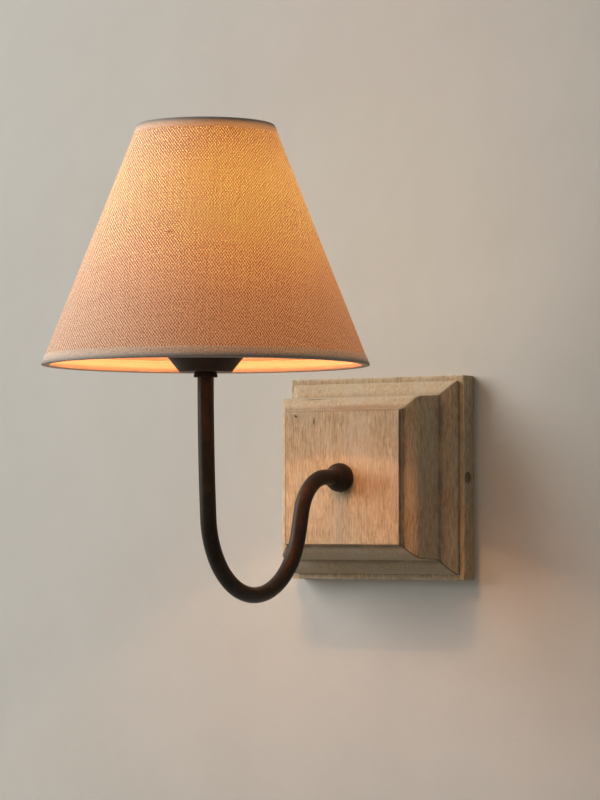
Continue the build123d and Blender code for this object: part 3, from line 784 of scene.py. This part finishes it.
def timber_piece(name, profile, hidden, seed):
    """A ring of loops: the worn section, then the hidden loops that close it behind."""
    loops = [square_loop(h, o, EDGE_ROUND) for h, o, _, _ in profile] + hidden
    columns = len(loops[0])
    points, marks = [], []
    for row, loop in enumerate(loops):
        before, after = loops[row - 1], loops[(row + 1) % len(loops)]
        shown = row < len(profile)
        crevice, wear = profile[row][2:] if shown else (0.0, 0.0)
        for column, point in enumerate(loop):
            beside = loop[(column + 1) % columns] - loop[column - 1]
            normal = (after[column] - before[column]).cross(beside)
            normal = normal.normalized() if normal.length else Vector((0, -1, 0))
            move = 0.0
            if shown and point.y < FLAT_BACK_Y:
                move = unevenness(point + Vector((seed, 0, 0)), wear)
            points.append(point + normal * move)
            marks.append((crevice, wear, 0.0, 1.0))
    made = make_mesh(name, points, loop_faces(len(loops), columns), TIMBER)
    keep_values(made, "marks", "FLOAT_COLOR", marks)
    return made


def drill(made, place, radius, depth):
    """Cuts a blind hole, along X, into a piece."""
    steps, (x, y, z) = BORE_STEPS, place
    points = [
        (x + way, y + radius * c, z + radius * s)
        for way in (-depth, depth)
        for c, s in circle(steps)
    ]
    faces = [(i, (i + 1) % steps, (i + 1) % steps + steps, i + steps) for i in range(steps)]
    faces += [tuple(reversed(range(steps))), tuple(range(steps, 2 * steps))]
    cutter = make_mesh("cutter", points, faces, TIMBER, smooth=False)
    cut = made.modifiers.new("bore", "BOOLEAN")
    cut.operation = "DIFFERENCE"
    cut.solver = "EXACT"
    cut.object = cutter
    shape = made.evaluated_get(bpy.context.evaluated_depsgraph_get())
    made.data = bpy.data.meshes.new_from_object(shape)
    made.data.set_sharp_from_angle(angle=BORE_SHARP)
    made.modifiers.remove(cut)
    bpy.data.objects.remove(cutter)


block_inside = [
    round_loop(12.0, BLOCK_DEPTH),
    round_loop(8.0, BLOCK_DEPTH),
    round_loop(SPIGOT_HOLE, BLOCK_DEPTH),
    round_loop(SPIGOT_HOLE, HOLLOW_DEPTH),
    round_loop(12.0, HOLLOW_DEPTH),
    square_loop(WINDOW_HALF - INNER_ROUND, HOLLOW_DEPTH),
    square_loop(WINDOW_HALF, HOLLOW_DEPTH - INNER_ROUND),
    square_loop(WINDOW_HALF, 32.0),
    square_loop(WINDOW_HALF, BOARD_THICK),
    square_loop(58.0, BOARD_THICK),
]
block = timber_piece("timber_block", worn_profile(BLOCK_SECTION), block_inside, seed=0.0)
add_piece(block, "fixture", "timber", "moulded_block")

board_inside = [square_loop(WINDOW_HALF, 10.0), square_loop(WINDOW_HALF, 5.0)]
board = timber_piece("timber_board", worn_profile(BOARD_SECTION), board_inside, seed=40.0)
for side in (-1, 1):
    drill(board, (side * BOARD_HALF, -SCREW_OUT, 0), SCREW_BORE / 2, BORE_DEPTH)
add_piece(board, "fixture", "timber", "base_board")


# Shade


SHEET_ROWS, SHEET_COLUMNS = 57, 361
SHEET_EDGE = 0.8
LAP_RISE, LAP_STEEP = 0.45, 60
WOBBLE_SIZE = 30.0
HEM_COLUMNS = 360
LOWER_HEM, UPPER_HEM = 7.4, -7.0
HEM_WAVERS = ((0.35, 9.0), (0.14, 40.0))  # height, and waves round the shade
HEM_DENT, HEM_DENT_WAVES = 0.12, 14.0
BAND_STEPS, FOLD_STEPS = 12, 6
HEM_DEPTH, HEM_THICK, HEM_CURVE = 5.6, 0.6, 0.9
HEM_BAND = [  # the lower band inside the shade, up its face and down behind it
    (5.6, 1.6), (5.6, 2.4), (5.5, 3.1), (5.2, 3.8), (4.6, 4.7), (3.8, 5.7), (3.0, 6.7),
    (2.4, 7.7), (2.2, 8.6), (2.0, 8.5), (2.4, 6.9), (3.3, 5.6), (4.2, 4.4), (4.9, 3.2),
]


def shade_radius(level, inward=0.0):
    return SHADE_BOTTOM - level * SHADE_SLOPE - inward * SLANT


def cloth_place(turn, level):
    """Where a point of the shade lies on the flat cut, in metres."""
    reach = shade_radius(level) / SPREAD
    angle = turn * SPREAD
    return (reach * sin(angle) * MM, reach * cos(angle) * MM, 0.0)


def shade_point(turn, radius, level):
    """Turn is from the cloth's middle line."""
    angle = turn + GRAIN_TURN
    return Vector((radius * sin(angle), LAMP_Y - radius * cos(angle), SHADE_FOOT + level))


def shade_sheet(name, material, inward, thick, lap, wobble):
    """The cone of one layer, from seam to seam, with its end lapped over its start."""
    low, high = SHEET_EDGE, SHADE_HEIGHT - SHEET_EDGE
    points, places = [], []
    for row in range(SHEET_ROWS):
        level = low + (high - low) * row / (SHEET_ROWS - 1)
        for column in range(SHEET_COLUMNS):
            share = column / (SHEET_COLUMNS - 1)
            turn = -pi + share * 2 * pi + lap * (share - 0.5)
            radius = shade_radius(level, inward)
            radius += wobble * noise.noise(shade_point(turn, radius, level) / WOBBLE_SIZE)
            if lap:
                radius += LAP_RISE * max(0.0, 1.0 - (1.0 - share) * LAP_STEEP)
            points.append(shade_point(turn, radius, level))
            places.append(cloth_place(turn, level))
    faces = loop_faces(SHEET_ROWS, SHEET_COLUMNS, closed=False)
    made = make_mesh(name, points, faces, material)
    keep_values(made, "cloth", "FLOAT_VECTOR", places)
    depth = made.modifiers.new("depth", "SOLIDIFY")
    depth.thickness = thick * MM
    depth.offset = 1.0
    return made


cloth = shade_sheet("shade_cloth", LINEN, inward=0.7, thick=0.4, lap=SEAM_LAP, wobble=0.16)
add_piece(cloth, "shade", "linen", "shade_linen")

liner = shade_sheet("shade_lining", LINING, inward=1.5, thick=0.3, lap=0.0, wobble=0.1)
add_piece(liner, "shade", "lining", "shade_liner")


def hem_section(tall):
    """Inward and upward places round a hem: outside band, flat fold and lower band inside."""
    depth, thick, curve = HEM_DEPTH, HEM_THICK, HEM_CURVE
    bends = [(curve * (1 - cos(pi / 8 * i)), curve * (1 - sin(pi / 8 * i))) for i in range(5)]
    section = [(thick, tall - 0.1), (0.25, tall), (0.0, tall - 0.35)]
    section += [(0.0, tall + (curve - tall) * i / BAND_STEPS) for i in range(1, BAND_STEPS)]
    section += bends
    across = depth - 2 * curve
    section += [(curve + across * i / FOLD_STEPS, 0.0) for i in range(1, FOLD_STEPS)]
    section += [(depth - rise, inward) for inward, rise in bends]
    return section + HEM_BAND + [(5.0, curve), (depth / 2, thick), (thick, curve)]


def hem(name, edge, reach, node):
    """Cloth folded round an edge of the shade and its wire.

    Each point stores how far it lets no light through, how far it lies inside, and how much
    dirt and painted shade it has along the fold.
    """
    up = 1 if reach > 0 else -1
    tall = abs(reach)
    section = hem_section(tall)
    points, places, marks = [], [], []
    for inward, rise in section:
        shut = 1.0 if inward > 0.3 else clamp((5.0 - rise) / 4.0)
        # dirt and painted shade on the outside of the fold
        soiled_and_shaded = clamp(min((2.9 - rise) / 1.6, (1.9 - inward) / 0.6))
        inner = clamp((inward - 1.6) / 0.8)
        for column in range(HEM_COLUMNS):
            turn = 2 * pi * column / HEM_COLUMNS
            spot = Vector((cos(turn), sin(turn), up * 2.0))
            waver = sum(size * noise.noise(spot * waves) for size, waves in HEM_WAVERS)
            level = edge + up * (rise + waver * rise / tall)
            dented = HEM_DENT * noise.noise(spot * HEM_DENT_WAVES + Vector((0, 0, rise)))
            points.append(shade_point(turn, shade_radius(level, inward) + dented, level))
            places.append((turn * SHADE_BOTTOM * MM, (rise + inward) * MM, 0.0))
            marks.append((shut, inner, soiled_and_shaded, 1.0))
    made = make_mesh(name, points, loop_faces(len(section), HEM_COLUMNS), TAPE)
    keep_values(made, "cloth", "FLOAT_VECTOR", places)
    keep_values(made, "marks", "FLOAT_COLOR", marks)
    add_piece(made, "shade", "tape", node)
    return made


lower_hem = hem("lower_hem", 0.0, LOWER_HEM, "bottom_trim")
upper_hem = hem("upper_hem", SHADE_HEIGHT, UPPER_HEM, "top_trim")


# Bulb cap, pressed from sheet with a round thread


CAP_ROWS, CAP_COLUMNS = 67, 72
CAP_FOOT, CAP_COLLAR, THREAD_FADE = 2.2, 8.6, 1.6
CAP_SHARP = radians(60)


def cap_radius(height, angle):
    """Outside of the cap: the thread fades out below the plain collar and above the foot."""
    room = min(height - CAP_FOOT, CAP_LENGTH - CAP_COLLAR - height)
    wave = 0.5 - 0.5 * cos(2 * pi * height / THREAD_PITCH - angle)
    return CAP_SIZE / 2 - THREAD_DEPTH * clamp(room / THREAD_FADE) * wave


def screw_cap(name, node):
    foot = min(v.co.z for v in solids[node].data.vertices) / MM
    heights = [CAP_LENGTH * row / (CAP_ROWS - 1) for row in range(CAP_ROWS)]
    points = []
    for wall, way in ((0.0, heights), (CAP_WALL, heights[::-1])):
        for height in way:
            for column, (c, s) in enumerate(circle(CAP_COLUMNS)):
                radius = cap_radius(height, 2 * pi * column / CAP_COLUMNS) - wall
                points.append((radius * c, LAMP_Y + radius * s, foot + height))
    made = make_mesh(name, points, loop_faces(2 * CAP_ROWS, CAP_COLUMNS), CAP_METAL)
    made.data.set_sharp_from_angle(angle=CAP_SHARP)
    add_piece(made, "bulb", "cap_metal", node)


screw_cap("threaded_cap", "bulb_cap")


# Stage, seen from its front alone


FAR = 4000.0
WALL_GAP = BOARD_HALF - 0.3
FLOOR_Z = -1300.0
SQUARE = ((-1, -1), (1, -1), (1, 1), (-1, 1))

floor_look = surface(
    "pale_floor", (0.56, 0.54, 0.50), (0.535, 0.515, 0.475), (0.8, 0.9), 6.0,
    depth=0.0008, shine=0.2,
)
wall_look = surface(
    "pale_wall", (0.600, 0.570, 0.515), (0.575, 0.545, 0.490), (0.85, 0.95), 9.0,
    depth=0.0012, shine=0.15,
)
for look in (floor_look, wall_look):
    clear = look.node("BsdfTransparent", {}).outputs[0]
    behind = look.node("NewGeometry", {}).outputs["Backfacing"]
    one_sided = look.node("MixShader", {0: behind, 1: look.shader.outputs[0], 2: clear})
    look.feed(look.tree.nodes["Material Output"].inputs["Surface"], one_sided.outputs[0])

wall_points = [(x * s, 0.0, z * s) for s in (FAR, WALL_GAP) for x, z in SQUARE]
wall_faces = [(i, (i + 1) % 4, (i + 1) % 4 + 4, i + 4) for i in range(4)]
wall = make_mesh("wall", wall_points, wall_faces, wall_look.material, smooth=False)
floor_points = [(x * FAR, y * FAR, FLOOR_Z) for x, y in SQUARE]
floor = make_mesh("floor", floor_points, [(0, 1, 2, 3)], floor_look.material, smooth=False)


# Lights: a window, a fill behind the wall, the bulb's core and the glowing cloth


BULB_PIECES = [solids[name] for name in ("bulb_globe", "bulb_stem", "bulb_filaments")]
CARRIER = [
    solids[name] for name in ("fitter_ring", "fitter_arm_1", "fitter_arm_2", "fitter_arm_3")
]
SHADE_PIECES = [cloth, liner, lower_hem, upper_hem, solids["bottom_wire"], solids["top_wire"]]
ARM = [solids["arm_tube"]]
CORE = ((-6.0, 2.5, 0.40), (6.0, 2.5, 0.40), (0.0, 28.0, 0.34))  # x, radius and power
CORE_Z, CORE_COLOUR = 169.0, (1.0, 0.54, 0.235)
GLOW_Z, GLOW_RADIUS, GLOW_POWER, GLOW_COLOUR = 155.0, 70.0, 0.46, (1.0, 0.72, 0.42)
WINDOW_PLACE, WINDOW_TARGET, WINDOW_SIZE = (-2.4, -1.45, 1.3), (0, -0.15, 0.05), (1.9, 2.6)
WINDOW_POWER, WINDOW_COLOUR = 113.0, (0.96, 0.985, 1.0)
BACK_PLACE, BACK_TARGET, BACK_SIZE = (0.5, 1.6, 0.6), (0, 0, 0), (1.2, 1.2)
BACK_POWER, BACK_COLOUR = 22.0, (1.0, 1.0, 1.0)


def add_lamp(name, kind, place, power, colour):
    data = bpy.data.lights.new(name, kind)
    data.energy = power
    data.color = colour
    lamp = bpy.data.objects.new(name, data)
    lamp.location = place
    scene.collection.objects.link(lamp)
    return lamp


def soft_lamp(name, place, target, size, power, colour):
    lamp = add_lamp(name, "AREA", place, power, colour)
    lamp.data.shape = "RECTANGLE"
    lamp.data.size, lamp.data.size_y = size
    aim = Vector(target) - Vector(place)
    lamp.rotation_euler = aim.to_track_quat("-Z", "Y").to_euler()


def inner_lamp(name, place, radius, power, colour, passed):
    """A light inside the shade that shines through the pieces named last."""
    lamp = add_lamp(name, "POINT", Vector(place) * MM, power, colour)
    lamp.data.shadow_soft_size = radius * MM
    for ray in ("camera", "glossy", "transmission"):
        setattr(lamp, "visible_" + ray, False)
    let_by = bpy.data.collections.new(name + "_clear")
    for piece in passed:
        let_by.objects.link(piece)
    for item in let_by.collection_objects:
        item.light_linking.link_state = "EXCLUDE"
    lamp.light_linking.blocker_collection = let_by


window = (WINDOW_PLACE, WINDOW_TARGET, WINDOW_SIZE, WINDOW_POWER, WINDOW_COLOUR)
soft_lamp("window_light", *window)
soft_lamp("back_light", BACK_PLACE, BACK_TARGET, BACK_SIZE, BACK_POWER, BACK_COLOUR)
through_glass = BULB_PIECES + CARRIER + ARM
through_cloth = BULB_PIECES + CARRIER + SHADE_PIECES
for i, (x, radius, power) in enumerate(CORE):
    place = (x, LAMP_Y, CORE_Z)
    inner_lamp(f"bulb_core_{i}", place, radius, power, CORE_COLOUR, through_glass)
place = (0.0, LAMP_Y, GLOW_Z)
inner_lamp("cloth_glow", place, GLOW_RADIUS, GLOW_POWER, GLOW_COLOUR, through_cloth)


# Room, which looks brighter than the light that it gives


ROOM_LIGHT, ROOM_STRENGTH = (1.0, 0.985, 0.96, 1.0), 0.14
ROOM_SHOWN = (0.50, 0.485, 0.455, 1.0)

world = bpy.data.worlds.new("pale_room")
scene.world = world
world.use_nodes = True
tree = world.node_tree
rays = tree.nodes.new("ShaderNodeLightPath").outputs
seen = rays["Is Camera Ray"]
for other in ("Is Glossy Ray", "Is Transmission Ray"):
    either = tree.nodes.new("ShaderNodeMath")
    either.operation = "MAXIMUM"
    tree.links.new(seen, either.inputs[0])
    tree.links.new(rays[other], either.inputs[1])
    seen = either.outputs[0]
choice = tree.nodes.new("ShaderNodeMixShader")
tree.links.new(seen, choice.inputs[0])
backgrounds = (
    (tree.nodes["Background"], ROOM_LIGHT, ROOM_STRENGTH),
    (tree.nodes.new("ShaderNodeBackground"), ROOM_SHOWN, 1.0),
)
for i, (background, colour, strength) in enumerate(backgrounds, 1):
    background.inputs["Color"].default_value = colour
    background.inputs["Strength"].default_value = strength
    tree.links.new(background.outputs[0], choice.inputs[i])
tree.links.new(choice.outputs[0], tree.nodes["World Output"].inputs["Surface"])


# Camera


CAMERA_PLACE = (1.236, -2.042, -0.036)
YAW, PITCH = radians(32.77), radians(-2.30)
SENSOR, LENS = 36.0, 141.3
SIGHT = 50.0

camera_data = bpy.data.cameras.new("camera")
camera_data.sensor_width = SENSOR
camera_data.lens = LENS
camera_data.clip_end = SIGHT
camera = bpy.data.objects.new("camera", camera_data)
scene.collection.objects.link(camera)
camera.location = CAMERA_PLACE
back = Vector((sin(YAW) * cos(PITCH), -cos(YAW) * cos(PITCH), sin(PITCH)))
camera.rotation_euler = (-back).to_track_quat("-Z", "Y").to_euler()
scene.camera = camera
scene.view_settings.view_transform = "Standard"
